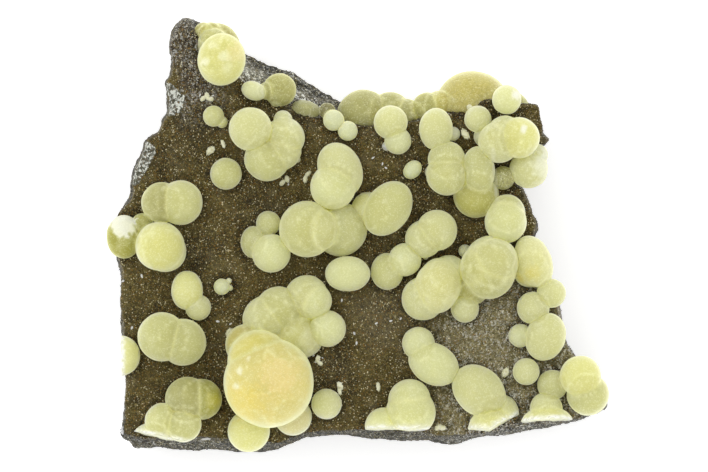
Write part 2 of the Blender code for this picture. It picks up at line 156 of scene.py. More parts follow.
# Balls that grew into each other: across, up, radius and height, and how far one is drawn out.
# A small ball that stands alone is a group of one.
BALLS = {
    "peak_balls": [
        (-23.2, 29.8, 4.1, 2.9, 0.1, 0.7), (-24.7, 32.6, 2.6, -0.6), (-24.3, 31.9, 4.2, -3.3),
        (-26.3, 34.6, 1.6, -1.6), (-25.1, 34.1, 2.1, -1.9),
    ],
    "brow_balls": [
        (-17.8, 24.5, 1.6, 1.2, 1.0, -0.4), (-13.4, 24.7, 2.85, -1.4), (-15.6, 24.5, 1.5, -0.2),
        (-14.0, 22.8, 1.0, -0.7),
    ],
    "brow_dome": [(-9.1, 19.9, 3.0, -3.4, 1.3, -0.5)],
    "brow_twins": [
        (-4.2, 19.5, 1.8, 1.0), (-1.8, 17.7, 1.7, 1.2), (-5.3, 21.1, 1.4, -0.5),
    ],
    "rear_bank": [
        (0.9, 20.2, 4.6, -4.7), (5.4, 20.7, 3.7, -5.1), (7.9, 19.9, 3.4, -4.7),
        (11.8, 21.6, 2.7, -3.3), (19.5, 21.4, 6.6, -6.8), (24.9, 20.4, 4.6, -5.0),
        (13.8, 22.0, 2.6, -3.6),
    ],
    "pointed_bead": [
        (-24.6, 20.2, 1.8, 0.8), (-23.2, 19.2, 1.0, 0.5), (-25.9, 20.2, 0.5, 0.5),
    ],
    "upper_left_balls": [
        (-18.3, 18.0, 3.7, 3.6), (-12.6, 16.5, 3.5, 1.9), (-13.2, 14.5, 3.55, 1.7),
        (-15.5, 13.0, 3.9, 1.9), (-12.8, 19.6, 1.6, 1.5), (-10.3, 12.8, 0.5, 1.5),
    ],
    "left_bead": [(-22.5, 10.4, 2.7, 1.4)],
    "centre_bank": [
        (-3.1, 11.1, 3.7, 2.6, 0.9, -2.0), (-4.3, 8.2, 3.9, 3.4), (-8.7, 1.0, 4.8, 2.9),
        (-6.9, 0.9, 3.7, 3.9), (-3.1, 1.0, 4.6, 0.7), (1.8, 4.2, 3.1, 0.5),
        (5.0, 4.5, 3.8, 2.6, -1.4, -2.0), (-15.3, 2.0, 2.1, 1.0), (-17.8, -1.2, 2.2, 0.9, 0.0, -1.1),
        (-14.8, -3.1, 3.3, 2.0),
    ],
    "pale_egg": [(-1.8, -6.6, 3.0, 2.6, 1.7, 0.0)],
    "chain_balls": [
        (4.9, -6.2, 2.8, 0.9, 0.0, -0.7), (7.9, -4.2, 2.8, 1.9), (13.3, 0.8, 3.5, 2.2),
        (11.1, -0.7, 3.2, 1.9), (11.4, -3.7, 0.5, 1.5),
    ],
    "upper_pair": [
        (5.5, 19.1, 2.9, 1.5), (6.7, 16.0, 2.3, 1.4), (4.8, 15.1, 0.8, 0.9),
    ],
    "upper_bead": [(9.2, 11.1, 1.4, 0.9, 0.5, 0.5)],
    "right_bank": [
        (13.2, 18.0, 2.9, 2.0, 0.0, -1.4), (16.1, 17.2, 1.2, 0.5), (15.0, 12.8, 3.2, 2.0),
        (15.0, 10.2, 3.5, 2.4), (12.5, 10.7, 1.2, 0.5), (20.4, 11.0, 2.8, 2.4, 0.2, -2.6),
        (24.6, 9.7, 2.0, 0.3), (20.0, 6.8, 3.9, 0.1), (25.0, 2.2, 3.6, 2.4),
        (25.2, 3.7, 3.2, 1.4), (22.3, -5.5, 4.7, 2.4, -0.2, -1.5), (23.0, -4.6, 4.2, 3.4),
        (21.3, -5.6, 4.1, 2.9), (29.8, -4.5, 3.1, 1.9, 1.1, -2.8), (29.2, -5.9, 3.0, 0.5),
        (18.1, -2.7, 1.1, 0.5), (19.2, -8.6, 3.3, 0.5), (13.9, -7.5, 3.6, 2.0),
        (13.4, -8.8, 3.95, 2.9, 0.35, 1.2), (11.0, -10.8, 3.7, 1.7), (15.4, -6.5, 3.1, 0.9),
        (18.1, -12.5, 2.4, 1.4), (32.8, -9.9, 2.5, 1.4), (29.7, -12.4, 2.8, 1.4),
        (31.8, -17.3, 3.4, 2.0, -0.5, -1.4), (27.5, -17.1, 2.0, 1.0), (20.3, 19.7, 2.3, 1.2),
        (18.9, 21.7, 0.5, 0.7), (21.3, 16.7, 1.7, 0.9), (23.9, 15.8, 3.6, 2.6),
        (24.9, 17.2, 3.1, 2.4), (27.3, 16.5, 3.5, 3.4), (29.0, 11.2, 3.3, 0.3),
        (30.4, 13.6, 1.9, 0.2),
    ],
    "corner_bead": [(25.2, 23.0, 2.5, 1.5)],
    "left_bank": [
        (-39.8, -0.3, 3.0, 1.0, 0.0, 1.4), (-36.7, 1.8, 1.9, 1.0), (-33.4, 5.5, 3.5, 2.0),
        (-30.2, 5.5, 3.8, 2.4), (-33.7, -1.9, 4.2, 3.3), (-32.8, -2.7, 3.6, 2.0),
    ],
    "left_half_ball": [(-40.5, -20.5, 3.45, 0.7)],
    "left_duo": [(-29.1, -9.4, 2.7, 1.7, 0.0, -1.3), (-27.2, -12.3, 2.2, 1.4)],
    "left_pair": [(-33.3, -17.3, 4.2, 2.4), (-29.8, -18.2, 4.0, 2.2)],
    "orange_bank": [
        (-15.2, -25.0, 7.7, 5.8), (-16.8, -21.5, 5.4, 5.7), (-19.0, -18.7, 3.6, 2.9),
        (-15.5, -14.4, 4.2, 1.9), (-13.5, -12.9, 4.15, 1.9), (-8.8, -10.5, 3.7, 1.9),
        (-7.6, -11.2, 3.1, 2.7), (-5.2, -15.9, 3.1, 2.4), (-9.4, -17.5, 3.4, 0.9),
        (-18.6, -33.3, 3.6, 1.7), (-11.1, -30.9, 3.2, 1.0), (-11.6, -16.5, 4.6, 0.3),
    ],
    "lower_bead": [(-5.4, -28.7, 2.6, 1.7)],
    "lower_bank": [
        (10.2, -18.4, 2.8, 1.7), (12.8, -21.9, 3.5, 2.0, 1.8, -1.0),
        (20.5, -26.5, 4.0, 2.0, 1.6, -1.5), (24.0, -30.3, 3.3, 0.3), (22.8, -33.3, 4.2, 1.9),
    ],
    "lower_trio": [(8.7, -28.1, 3.65, 1.7), (8.9, -30.1, 4.25, 1.6), (4.3, -32.5, 3.2, 0.9)],
    "lower_left_balls": [
        (-29.0, -27.9, 3.85, 1.7), (-26.6, -27.9, 3.45, 1.5), (-33.2, -31.6, 3.1, 1.9),
        (-29.8, -32.1, 3.15, 2.4), (-35.1, -35.5, 3.7, 0.3),
    ],
    "lower_right_bead": [(28.5, -23.2, 2.3, 1.7)],
    "corner_bank": [
        (33.0, -25.5, 2.6, 0.5), (31.9, -29.5, 2.8, 1.0), (32.1, -32.5, 3.5, 1.8, 2.3, 0.0),
        (37.7, -24.0, 3.55, 2.4), (39.0, -27.1, 3.6, 1.0),
    ],
    "notched_bead": [(-23.2, -8.8, 1.4, 0.7), (-21.8, -9.0, 0.5, 0.5), (-22.0, -7.8, 0.5, 0.5)],
}

# Groups broken off along the rock's edge: the break runs between two points of the face and leans
# inwards as it rises, by this much for each millimetre
BREAK_LEAN = 0.1
BREAKS = {
    "left_half_ball": [(-40.2, -24.0, -40.2, -17.0, 0.0)],
    "lower_left_balls": [(-30.7, -35.2, -39.0, -33.3, BREAK_LEAN)],
    "lower_trio": [(14.0, -33.3, 0.0, -33.1, BREAK_LEAN)],
    "lower_bank": [(22.4, -33.4, 18.4, -33.1, BREAK_LEAN), (27.2, -30.5, 22.2, -33.5, BREAK_LEAN)],
    "corner_bank": [(36.8, -31.4, 27.3, -31.9, BREAK_LEAN)],
}

# The block that takes a break off: its cells to a side, how far it reaches past the break's ends,
# how high and how thick it is, and the steps in its inner side
BREAK_CELLS = 90
BREAK_MARGIN = 10
BREAK_HEIGHT = 20
BREAK_THICKNESS = 12
BREAK_STEPS = 6

# A point counts as broken from just inside the break
BROKEN_DEPTH = (-0.7, -0.35)

# How often a ball's mesh is divided: over and under these radii more and less than the others
LARGE_BALL = 6.0
SMALL_BALL = 0.9
LARGE_FINENESS = 5
BALL_FINENESS = 4
LOW_FINENESS = 3

# How uneven a ball is, as a share of its radius, and the waves of it: closeness and strength
UNEVEN_BALL = 0.018
UNEVEN_WAVES = [(1.6, 1.0), (5.0, 0.25)]

# Lone crystals: across, up, width, length and turn in degrees
CRYSTALS = {
    "star_crystals": [
        (-26.4, 23.2, 0.8, 1.0, 20), (-25.7, 23.6, 0.8, 1.0, 85), (-25.1, 23.1, 0.8, 1.0, 150),
    ],
    "sliver_crystal": [(-23.0, 15.5, 0.6, 1.4, 100)],
    "left_crystal": [(-25.1, 14.4, 1.1, 1.4, 30)],
    "centre_crystal": [(-9.0, 9.5, 0.8, 1.1, 65), (-8.5, 10.4, 0.7, 1.0, 20)],
    "centre_low_crystal": [(-12.9, 8.9, 0.9, 1.1, 15), (-12.1, 9.5, 0.8, 1.0, 80)],
    "ball_side_crystal": [(-22.0, -16.6, 1.0, 1.4, 40)],
    "foot_crystals": [(-6.9, -21.1, 0.8, 1.1, 60), (-6.5, -21.8, 0.7, 1.0, 130)],
    "post_crystal": [(-3.1, -25.7, 1.0, 1.2, 90), (-3.2, -26.5, 0.7, 1.3, 90)],
    "small_post_crystal": [(3.4, -25.8, 0.7, 1.4, 85)],
    "grey_crystal": [(18.2, 17.1, 1.2, 1.7, 100)],
    "right_crystal": [(25.0, -23.4, 1.2, 1.4, 35)],
    "sill_crystals": [(13.6, -32.7, 1.0, 1.1, 10), (14.3, -32.8, 0.9, 1.0, 150)],
}

# A lone crystal: how deep it is set in, how it slants, rises and tilts, and how worn it is
CRYSTAL_SINK = 0.25
CRYSTAL_SLANT = 0.35
CRYSTAL_RISE = 0.2
CRYSTAL_TILT = 0.35
CRYSTAL_WEAR = 0.2
CRYSTAL_UNEVEN = 0.3

# Small white flecks that lie in the druse: across, up, width, length and turn in degrees
FLECKS = [
    (2.5, 13.1, 0.3, 0.5, 20), (4.1, 12.1, 0.25, 0.45, 70), (4.7, 11.4, 0.3, 0.4, 130),
    (-40.0, -7.8, 0.35, 0.45, 10), (-36.8, -7.0, 0.35, 0.6, 95), (-38.5, -15.8, 0.35, 0.5, 50),
    (3.1, -15.0, 0.3, 0.5, 15), (5.5, -14.6, 0.3, 0.5, 0), (7.2, -14.2, 0.3, 0.45, 40),
    (-2.8, -11.1, 0.3, 0.5, 75), (-0.7, -16.7, 0.35, 0.5, 100), (-0.3, -18.4, 0.35, 0.5, 60),
    (-23.9, -14.7, 0.35, 0.6, 160), (-21.7, -15.1, 0.3, 0.5, 20), (11.9, -3.4, 0.4, 0.8, 30),
    (18.7, 21.9, 0.35, 1.0, 80), (-25.6, -34.6, 0.45, 2.3, 8), (-40.0, -33.2, 0.7, 1.3, 75),
    (-7.6, -20.5, 0.25, 0.35, 20), (-7.3, -21.6, 0.25, 0.3, 80), (-6.1, -20.9, 0.2, 0.3, 120),
    (-26.9, 23.8, 0.25, 0.4, 50), (-24.7, 23.7, 0.25, 0.4, 10), (-11.9, 8.6, 0.25, 0.35, 60),
]

# Colours, as the eye meets them in soft daylight
CALCITE = (205, 205, 152)
SAGE = (197, 197, 140)
PALE = (214, 216, 162)
BRIGHT = (221, 219, 164)
CREAM = (238, 236, 178)
BEAD = (214, 218, 180)
YELLOW = (218, 216, 147)
GREY = (189, 189, 133)
DUSKY = (165, 163, 108)
OLIVE = (183, 180, 102)
BRASS = (164, 158, 88)
MOSS = (156, 154, 75)
HONEY = (191, 180, 103)
AMBER = (222, 210, 118)
BEIGE = (214, 205, 152)
ORANGE = (224, 211, 136)
STONE = (126, 122, 88)
WHITE = (228, 228, 208)
BLACK = (0, 0, 0)

# The druse of the face: its brown and the darker and lighter patches of it, the pale corner, the
# peak, and the painted shade around the foot of a ball
FACE_BROWN = (94, 82, 40)
FACE_DARK = (74, 64, 28)
FACE_LIGHT = (110, 99, 56)
CORNER_TINT = (150, 141, 100)
PEAK_TINT = (72, 62, 46)
NOOK_SHADE = (40, 32, 8)

# The broken sides: their grey, dark and rusty patches, the painted shade at their foot, the bevel,
# the break below and the painted shade on the steep edges of both
SIDE_GREY = (74, 73, 58)
SIDE_DARK = (44, 42, 30)
SIDE_RUST = (84, 68, 32)
FOOT_SHADE = (22, 21, 15)
BEVEL_TINT = (188, 185, 164)
SILL_TINT = (66, 65, 44)
EDGE_SHADE = (12, 11, 7)

# Single grains of the rock, with painted glints of pale gold and cream among them, and the facets and
# hollows of its fresh patches
HAZE = (134, 124, 94)
GOLD = (150, 136, 76)
PAINTED_GOLD_GLINT = (186, 170, 112)
PAINTED_GLINT = (232, 222, 184)
SILVER = (240, 240, 232)
GLOW = (150, 106, 36)
FACET_GREY = (92, 91, 76)
FACET_WHITE = (226, 228, 218)
HOLLOW = (64, 62, 50)

# Crystals of the druse, on the brown ground and on fresh patches
GRAIN_GOLD = (150, 136, 80)
GRAIN_PALE = (222, 212, 170)
GRAIN_SILVER = (238, 238, 230)
GRAIN_GREY = (96, 94, 78)
GRAIN_WHITE = (230, 232, 222)

# Inside the calcite: its milky clouds, deeper patches, the shade and spark of a grain, the shade
# between sparkling crystals, and the chalky white of a broken side
MILK = (232, 232, 190)
DEEP_YELLOW = (176, 172, 88)
GRAIN_SHADE = (160, 156, 92)
SPARK = (246, 246, 216)
SPARKLE_SHADE = (96, 90, 56)
CHALK_SHADE = (214, 214, 178)
CHALK_WHITE = (246, 246, 228)
CHALK_PIT = (156, 152, 118)
SHEEN = (255, 255, 196)

# The white crystals and the dust in them, and the floor
WHITE_CRYSTAL = (236, 235, 206)
BROWN_DUST = (180, 170, 122)
FLOOR_TINT = (250, 250, 250)
FLOOR_LIGHT = (255, 255, 255)

# Painted light: a ball's flanks are painted paler than its top, as a bright rim, and so is the seam
# where two balls meet, against the shade in the crease
PAINTED_RIM_LIGHT = (252, 252, 206)
SEAM_LIGHT = (240, 240, 190)
SEAM_WIDTH = 0.35

# Where the painted light on the flanks begins, by slope, with the share that each range adds, and
# how light a ball has to be for its flanks to show in full
FLANK_SLOPES = [(0.05, 0.72, 0.55), (0.18, 0.48, 0.6)]
DULLEST = 0.25
LIGHT_RANGE = 0.3

# A ball shows faintly through its neighbours: its tint there, and the least radius that shows
ECHO = (186, 182, 100)
SMALLEST_ECHO = 1.5

# Balls whose colour differs from the rest, by their place in their group
SHADES = {
    "peak_balls": {0: YELLOW, 1: GREY, 2: BRASS, 3: BRASS, 4: BRASS},
    "brow_balls": {0: PALE, 1: DUSKY, 2: DUSKY, 3: GREY},
    "brow_dome": {0: DUSKY},
    "brow_twins": {0: BEAD, 1: BEAD, 2: STONE},
    "rear_bank": {0: DUSKY, 1: DUSKY, 2: DUSKY, 3: DUSKY, 4: HONEY, 5: OLIVE, 6: HONEY},
    "upper_left_balls": {3: SAGE},
    "left_bead": {0: GREY},
    "centre_bank": {1: PALE, 2: SAGE, 4: SAGE, 5: YELLOW, 6: SAGE, 7: GREY, 8: GREY, 9: PALE},
    "pale_egg": {0: PALE},
    "chain_balls": {0: SAGE, 1: PALE},
    "upper_pair": {1: PALE, 2: WHITE},
    "upper_bead": {0: BEAD},
    "right_bank": {
        1: CREAM, 2: SAGE, 3: SAGE, 5: SAGE, 6: DUSKY, 7: OLIVE, 8: PALE, 9: SAGE, 10: GREY,
        12: SAGE, 13: BRIGHT, 14: AMBER, 16: OLIVE, 17: PALE, 18: BRIGHT, 20: PALE, 25: PALE,
        30: SAGE, 31: YELLOW,
    },
    "corner_bead": {0: PALE},
    "left_bank": {0: MOSS, 1: MOSS, 2: DUSKY, 3: SAGE, 4: YELLOW, 5: YELLOW},
    "left_duo": {0: YELLOW},
    "left_pair": {0: GREY, 1: GREY},
    "orange_bank": {
        0: ORANGE, 1: AMBER, 2: HONEY, 4: SAGE, 6: PALE, 7: PALE, 8: BRIGHT, 9: YELLOW, 10: BEIGE,
        11: YELLOW,
    },
    "lower_bank": {0: PALE, 1: PALE},
    "lower_trio": {0: PALE, 1: PALE, 2: PALE},
    "lower_left_balls": {0: DUSKY, 1: MOSS, 2: SAGE, 3: GREY},
    "corner_bank": {0: SAGE, 3: YELLOW, 4: SAGE},
    "notched_bead": {0: BEAD, 1: SAGE, 2: BEAD},
}

# Balls and groups that sparkle all over, as a druse of small clear crystals does
SPARKLING = {"rear_bank": 0.4, "brow_balls": 0.3, "brow_dome": 0.4, "peak_balls": 0.3}
SPARKLING_BALLS = {("brow_twins", 2): 1.0, ("right_bank", 6): 1.0, ("peak_balls", 0): 0.1,
                   ("brow_balls", 0): 0.0}

# Thin white veins on a group, and their width
VEINS = {"right_bank": [[(22.7, 14.5), (23.4, 10.5), (23.5, 6.0)]]}
VEIN_WIDTH = 0.4

# Stains and painted highlights on a group: across, up, reach, tint, strength and where in the reach
# they start to fade
STAINS_AND_HIGHLIGHTS = {
    "left_bank": [(-40.0, 1.9, 2.5, (246, 247, 226), 0.85, 0.8)],
    "orange_bank": [
        (-13.3, -23.8, 4.5, (240, 220, 160), 0.6, 0.3), (-19.6, -28.2, 4.5, (232, 212, 108), 0.6, 0.3),
        # Painted highlights: four small spots along the left of the big ball
        (-17.3, -19.0, 0.5, (246, 244, 216), 0.7, 0.5), (-18.7, -20.9, 0.5, (246, 244, 216), 0.7, 0.5),
        (-20.1, -22.9, 0.7, (246, 244, 216), 0.8, 0.5), (-20.6, -25.5, 0.7, (246, 244, 216), 0.8, 0.5),
    ],
    # A painted highlight on the corner bead
    "corner_bead": [(26.7, 23.7, 0.9, (250, 250, 226), 0.8, 0.5)],
    "peak_balls": [
        # The first four are painted highlights on the peak's ball; the last is a stain
        (-26.2, 29.3, 0.8, (248, 248, 222), 0.7, 0.5), (-24.5, 32.1, 1.2, (246, 246, 214), 0.4, 0.4),
        (-22.7, 30.2, 1.3, (248, 248, 220), 0.5, 0.5), (-22.3, 28.3, 1.0, (246, 246, 214), 0.4, 0.4),
        (-20.4, 31.0, 2.6, (240, 222, 170), 0.4, 0.3),
    ],
    "right_bank": [
        # The small spot at 28.0, 17.9 is a painted highlight; the others are stains
        (32.2, 12.0, 4.2, (240, 242, 220), 0.65, 0.3), (28.0, 17.9, 0.8, (250, 250, 230), 0.8, 0.5),
        (29.4, -6.6, 2.0, (220, 204, 92), 0.5, 0.3),
    ],
    "lower_left_balls": [(-24.6, -28.0, 1.8, (190, 184, 78), 0.7, 0.3)],
}

# How deep light goes into the calcite, and into beads whose radius is no more than this
BALL_DEPTH = 9.0
BEAD_DEPTH = 1.5
LARGEST_BEAD = 2.0


def socket_named(sockets, name):
    """The first socket that has this identifier or name."""
    return next(socket for socket in sockets if name in (socket.identifier, socket.name))


def linear(value):
    share = value / 255
    return share / 12.92 if share <= 0.04045 else ((share + 0.055) / 1.055) ** 2.4


def colour(tint):
    """A tint as a shader takes it."""
    return (*(linear(value) for value in tint), 1.0)


def light_of(tint):
    """A tint's red, green and blue light, to be painted on points."""
    return np.array(colour(tint)[:3])


class Signal:
    """A socket in a node tree. Arithmetic with it adds the nodes that work the sum out."""

    def __init__(self, tree, socket=None):
        self.tree = tree
        self.socket = socket

    def node(self, kind, settings=None, fill=None, output=0):
        """Adds a node: its settings first, then what goes into its sockets."""
        node = self.tree.nodes.new(kind)
        for name, value in (settings or {}).items():
            setattr(node, name, value)
        for name, value in (fill or {}).items():
            socket = socket_named(node.inputs, name)
            if isinstance(value, Signal):
                self.tree.links.new(value.socket, socket)
            else:
                socket.default_value = value
        if isinstance(output, str):
            return Signal(self.tree, socket_named(node.outputs, output))
        return Signal(self.tree, node.outputs[output] if node.outputs else None)

    def sum(self, operation, first, second):
        fill = {"Value": first, "Value_001": second}
        return self.node("ShaderNodeMath", {"operation": operation}, fill)

    def __add__(self, other):
        return self.sum("ADD", self, other)

    def __radd__(self, other):
        return self.sum("ADD", other, self)

    def __sub__(self, other):
        return self.sum("SUBTRACT", self, other)

    def __rsub__(self, other):
        return self.sum("SUBTRACT", other, self)

    def __mul__(self, other):
        return self.sum("MULTIPLY", self, other)

    def __rmul__(self, other):
        return self.sum("MULTIPLY", other, self)

    def above(self, low, high):
        """0 under the low value, 1 over the high one and a smooth rise between."""
        fill = {"Value": self, "From Min": low, "From Max": high}
        return self.node("ShaderNodeMapRange", {"interpolation_type": "SMOOTHSTEP"}, fill)

    def blend(self, first, second, share):
        """Mixes two colours. Each is a socket or a tint."""
        first, second = (c if isinstance(c, Signal) else colour(c) for c in (first, second))
        fill = {"Factor_Float": share, "A_Color": first, "B_Color": second}
        return self.node("ShaderNodeMix", {"data_type": "RGBA"}, fill, "Result_Color")

    def towards(self, other, share):
        """This colour, moved by a share towards another one."""
        return self.blend(self, other, share)

    def place(self, stretch=None):
        """Where a point is on its piece, for a pattern that may be stretched."""
        place = self.node("ShaderNodeTexCoord", output="Object")
        if stretch is None:
            return place
        return self.node("ShaderNodeMapping", None, {"Vector": place, "Scale": stretch})

    def grain(self, size, output="Color"):
        """Cells of about this size in millimetres."""
        fill = {"Vector": self.place(), "Scale": 1 / (size * MM)}
        return self.node("ShaderNodeTexVoronoi", {"voronoi_dimensions": "3D"}, fill, output)

    def cloud(self, size, detail=3.0, rough=0.55, stretch=None):
        """Soft noise with patches of about this size in millimetres."""
        fill = {"Vector": self.place(stretch), "Scale": 1 / (size * MM)}
        fill.update({"Detail": detail, "Roughness": rough})
        return self.node("ShaderNodeTexNoise", {"noise_dimensions": "3D"}, fill, "Fac")

    def chance(self, channel="Red"):
        """One of the three random numbers that are the colour of a cell."""
        return self.node("ShaderNodeSeparateColor", None, {"Color": self}, channel)

    def attribute(self, name, output="Fac"):
        """What is painted on the points: a number, or with the output Color a colour."""
        return self.node("ShaderNodeAttribute", {"attribute_name": name}, None, output)

    def bump(self, height, depth):
        """A relief of this depth in millimetres."""
        fill = {"Height": height, "Distance": depth * MM, "Strength": 1.0}
        return self.node("ShaderNodeBump", None, fill)


def new_material(name, fixed, look):
    """A material whose fixed values are set on the shader and whose other inputs come from a look:
    a function that is given a signal to draw with and returns what goes into them."""
    material = bpy.data.materials.new(name)
    material.use_nodes = True
    tree = material.node_tree
    tree.nodes.clear()
    draw = Signal(tree)
    shader = draw.node("ShaderNodeBsdfPrincipled", None, {**fixed, **look(draw)})
    draw.node("ShaderNodeOutputMaterial", None, {"Surface": shader})
    return material


def chalk(draw):
    """The flaky white of a ball's broken side."""
    flakes = draw.cloud(size=0.9, detail=4.0, rough=0.6, stretch=(0.35, 1.0, 1.4))
    pits = draw.cloud(size=0.5, detail=2.0)
    tone = draw.blend(CHALK_SHADE, CHALK_WHITE, flakes.above(0.42, 0.58))
    return tone.towards(CHALK_PIT, pits.above(0.6, 0.66) * 0.5)


def calcite_look(draw):
    """Fine-grained calcite: its tint, with painted light on flanks, seams and highlights, comes from
    the ball, with faint clouds and sparks in it.
    """
    sparkle = draw.attribute("sparkle")
    cloud = draw.cloud(size=2.6)
    deep = draw.cloud(size=1.2).above(0.52, 0.75)
    fine = draw.grain(size=0.17).chance()
    shade = draw.grain(size=0.26).chance("Green")
    tone = draw.attribute("tint", "Color").towards(MILK, cloud.above(0.45, 0.75) * 0.22)
    tone = tone.towards(tone.towards(DEEP_YELLOW, 0.5), deep * 0.2)
    tone = tone.towards(GRAIN_SHADE, (1.0 - fine) * (0.12 + sparkle * 0.3))
    tone = tone.towards(SPARK, fine.above(0.7, 0.95) * (0.2 + sparkle * 0.15))
    tone = tone.towards(SPARKLE_SHADE, shade.above(0.8, 0.95) * sparkle * 0.45)
    tone = tone.towards(chalk(draw), draw.attribute("broken") * 0.85)
    relief = draw.cloud(size=0.2, detail=2.0, rough=0.6) * 0.5
    relief = relief + draw.grain(size=0.24, output="Distance") * 0.5
    return {
        "Base Color": tone,
        "Roughness": 0.46 + cloud * 0.12 - sparkle * 0.15,
        "Normal": draw.bump(relief, depth=0.022),
    }


def hazed(draw, tone):
    """Paler and darker clouds in the rock's colour."""
    haze = draw.cloud(size=2.6, detail=4.0, rough=0.6)
    tone = tone.towards(HAZE, haze.above(0.5, 0.72) * 0.45)
    return tone.towards(BLACK, (1.0 - haze).above(0.52, 0.72) * 0.55)


def pitted(draw, tone, druse):
    """Small pits all over, and dark streaks where there is no druse."""
    pits = draw.cloud(size=0.7, rough=0.65).above(0.52, 0.68)
    streaks = draw.cloud(size=0.8, rough=0.6, stretch=(0.3, 1.0, 1.6)).above(0.5, 0.62)
    tone = tone.towards(BLACK, pits * 0.45)
    return tone.towards(BLACK, streaks * (1.0 - druse) * 0.5)


def silvered(draw, tone, cells, small, fresh):
    """Silver grains in streaks, where the rock is grey."""
    streaks = draw.cloud(size=1.1, rough=0.6, stretch=(1.6, 0.7, 1.0)).above(0.44, 0.58)
    grey = fresh * (0.25 + 1.5 * streaks)
    tone = tone.towards(SILVER, cells.chance("Green").above(0.6, 0.75) * grey * 0.8)
    return tone.towards(SILVER, small.chance("Green").above(0.72, 0.88) * grey * 0.7)


def fresh_patch(draw):
    """Grey and white facets with dark hollows between them."""
    facets = draw.grain(size=0.42).chance().above(0.3, 0.7)
    hollows = draw.cloud(size=0.5, rough=0.65).above(0.5, 0.6)
    return draw.blend(FACET_GREY, FACET_WHITE, facets).towards(HOLLOW, hollows * 0.75)


def rock_look(draw):
    """Tiny dark crystals with painted glints of gold and cream, and silver grains, in the colour
    painted on the rock.
    """
    druse = draw.attribute("druse")
    fresh = draw.attribute("fresh")
    cells = draw.grain(size=0.32)
    small = draw.grain(size=0.15)
    shade = cells.chance()
    fine = small.chance()
    bright = small.chance("Green").above(0.955, 0.975)
    tone = hazed(draw, draw.attribute("ground", "Color"))
    tone = tone.towards(BLACK, (1.0 - shade) * (0.2 + fresh * 0.6))
    tone = tone.towards(BLACK, (1.0 - fine).above(0.4, 1.0) * (0.3 + fresh * 0.4))
    tone = tone.towards(GOLD, shade.above(0.8, 0.98) * 0.3)
    # Painted glints: pale gold and cream specks
    tone = tone.towards(PAINTED_GOLD_GLINT, fine.above(0.88, 0.98) * 0.5)
    tone = tone.towards(PAINTED_GLINT, bright * 0.9)
    tone = pitted(draw, tone, druse)
    tone = silvered(draw, tone, cells, small, fresh)
    chip = draw.attribute("chip") + draw.cloud(size=0.5, detail=2.0) * 0.3
    tone = tone.towards(fresh_patch(draw), chip.above(0.62, 0.68))
    tone = tone.towards(GLOW, small.chance("Blue").above(0.9, 0.96) * druse * 0.6)
    height = shade * 0.35 + fine * 0.35 + draw.cloud(size=1.3, detail=4.0, rough=0.65) * 0.7
    return {
        "Base Color": tone,
        "Roughness": 0.6 - bright * 0.3,
        "Normal": draw.bump(height, depth=0.14),
    }


def grain_look(draw):
    """One crystal of the druse: brown to gold, a few pale, and grey or white where it is fresh."""
    chance = draw.attribute("chance")
    tone = draw.attribute("ground", "Color").towards(GRAIN_GOLD, chance.above(0.5, 0.92) * 0.35)
    tone = tone.towards(GRAIN_PALE, chance.above(0.97, 0.985) * 0.8)
    tone = tone.towards(GRAIN_SILVER, chance.above(0.75, 0.85) * draw.attribute("fresh") * 0.8)
    tone = tone.towards(BLACK, (1.0 - chance).above(0.45, 1.0) * 0.6)
    broken = draw.blend(GRAIN_GREY, GRAIN_WHITE, chance.above(0.4, 0.7))
    tone = tone.towards(broken, draw.attribute("chip").above(0.46, 0.54))
    return {"Base Color": tone, "Roughness": 0.24 + draw.cloud(size=0.4) * 0.2}


def white_look(draw):
    """Small clear to milky crystals, with brown dust in their hollows."""
    dust = draw.cloud(size=0.6).above(0.54, 0.7)
    tone = draw.blend(WHITE_CRYSTAL, BROWN_DUST, dust * 0.6)
    relief = draw.grain(size=0.3, output="Distance")
    return {"Base Color": tone, "Roughness": 0.3, "Normal": draw.bump(relief, depth=0.05)}


def floor_look(draw):
    return {
        "Base Color": colour(FLOOR_TINT), "Roughness": 0.9,
        "Emission Color": colour(FLOOR_LIGHT), "Emission Strength": FLOOR_GLOW,
    }


def calcite_material(name, depth):
    """Calcite into which light goes this deep, in millimetres, with a soft pale rim."""
    fixed = {
        "IOR": 1.5, "Subsurface Weight": 1.0, "Subsurface Radius": (1.0, 0.95, 0.6),
        "Subsurface Scale": depth * MM, "Sheen Weight": 1.0, "Sheen Roughness": 0.3,
        "Sheen Tint": colour(SHEEN), "Specular IOR Level": 0.3,
    }
    return new_material(name, fixed, calcite_look)


def white_material():
    fixed = {
        "IOR": 1.55, "Subsurface Weight": 0.4, "Subsurface Radius": (1.0, 1.0, 0.8),
        "Subsurface Scale": 0.5 * MM,
    }
    return new_material("white_calcite", fixed, white_look)


def plain_mesh(obj):
    """Replaces an object's mesh by what its modifiers make of it, and takes them off."""
    graph = bpy.context.evaluated_depsgraph_get()
    mesh = bpy.data.meshes.new_from_object(obj.evaluated_get(graph))
    obj.modifiers.clear()
    obj.data = mesh


def object_from(name, shape, scale=MM):
    """A new object from a bmesh in millimetres, which this uses up."""
    bmesh.ops.scale(shape, vec=(scale,) * 3, verts=shape.verts)
    mesh = bpy.data.meshes.new(name)
    shape.to_mesh(mesh)
    shape.free()
    obj = bpy.data.objects.new(name, mesh)
    bpy.context.scene.collection.objects.link(obj)
    return obj


def combine(body, other, operation):
    """Joins another object to a body or cuts it out of it, and uses it up."""
    modifier = body.modifiers.new("combine", "BOOLEAN")
    modifier.operation = operation
    modifier.solver = "MANIFOLD"
    modifier.object = other
    plain_mesh(body)
    bpy.data.objects.remove(other, do_unlink=True)


def points_of(mesh):
    places = np.empty(len(mesh.vertices) * 3, np.float32)
    mesh.vertices.foreach_get("co", places)
    return places.reshape(-1, 3).astype(float)


